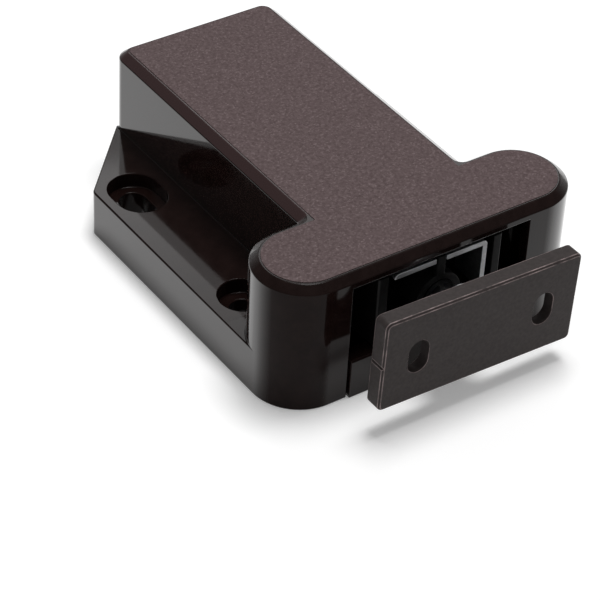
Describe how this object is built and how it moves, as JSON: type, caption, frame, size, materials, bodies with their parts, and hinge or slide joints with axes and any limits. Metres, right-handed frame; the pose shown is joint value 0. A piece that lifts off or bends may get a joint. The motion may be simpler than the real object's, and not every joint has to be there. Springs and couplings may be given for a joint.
{
  "type": "push to open catch",
  "caption": "T-shaped surface-mounted push latch with a sprung magnetic plunger, heart cam, screw flanges and a slotted strike plate held by the magnet.",
  "frame": {"origin": "middle of the head's front edge on the mounting plane", "axes": "+X to the right seen from the door, +Y into the cabinet along the plunger's stroke, +Z away from the panel it is screwed to"},
  "size_m": [0.06, 0.0859, 0.0247],
  "materials": {
    "housing_brown": "dark brown moulded ABS, glossy sides and a fine matt grain on the top",
    "strike_brown": "dark brown satin coating on steel",
    "carriage_black": "black acetal, slightly glossy",
    "zinc_steel": "bright zinc plated",
    "spring_steel": "drawn spring wire",
    "magnet_nickel": "nickel plated magnet",
    "cam_natural": "natural acetal",
    "stop_rubber": "black rubber"
  },
  "bodies": {
    "housing": {"housing": "housing_brown", "base_cover": "housing_brown", "cover_screws": "zinc_steel", "follower_spring": "spring_steel", "follower_spring_screw": "zinc_steel", "spring_rod": "zinc_steel", "drive_spring": "spring_steel", "rear_spring_washer": "zinc_steel", "left_stop_buffer": "stop_rubber", "right_stop_buffer": "stop_rubber"},
    "plunger": {"carriage": "carriage_black", "head_channel": "zinc_steel", "plunger_rod": "zinc_steel", "rod_pin": "zinc_steel", "magnet_cup": "zinc_steel", "ring_magnet": "magnet_nickel", "magnet_screw": "zinc_steel", "strike_plate": "strike_brown", "cam_plate": "cam_natural", "cam_screws": "zinc_steel", "front_spring_washer": "zinc_steel"},
    "follower": {"cam_follower": "spring_steel"}
  },
  "joints": [
    {"name": "plunger_slide", "type": "slide", "parent": "housing", "child": "plunger", "axis": [0, 1, 0], "range_m": [0, 0.0065], "stiffness_N_per_m": 300, "springref_m": -0.02, "deforming": ["drive_spring"]},
    {"name": "follower_swing", "type": "hinge", "parent": "housing", "child": "follower", "pos_m": [0, 0.044, 0.0062], "axis": [0, 0, 1], "range_deg": [0, 13.83]}
  ]
}
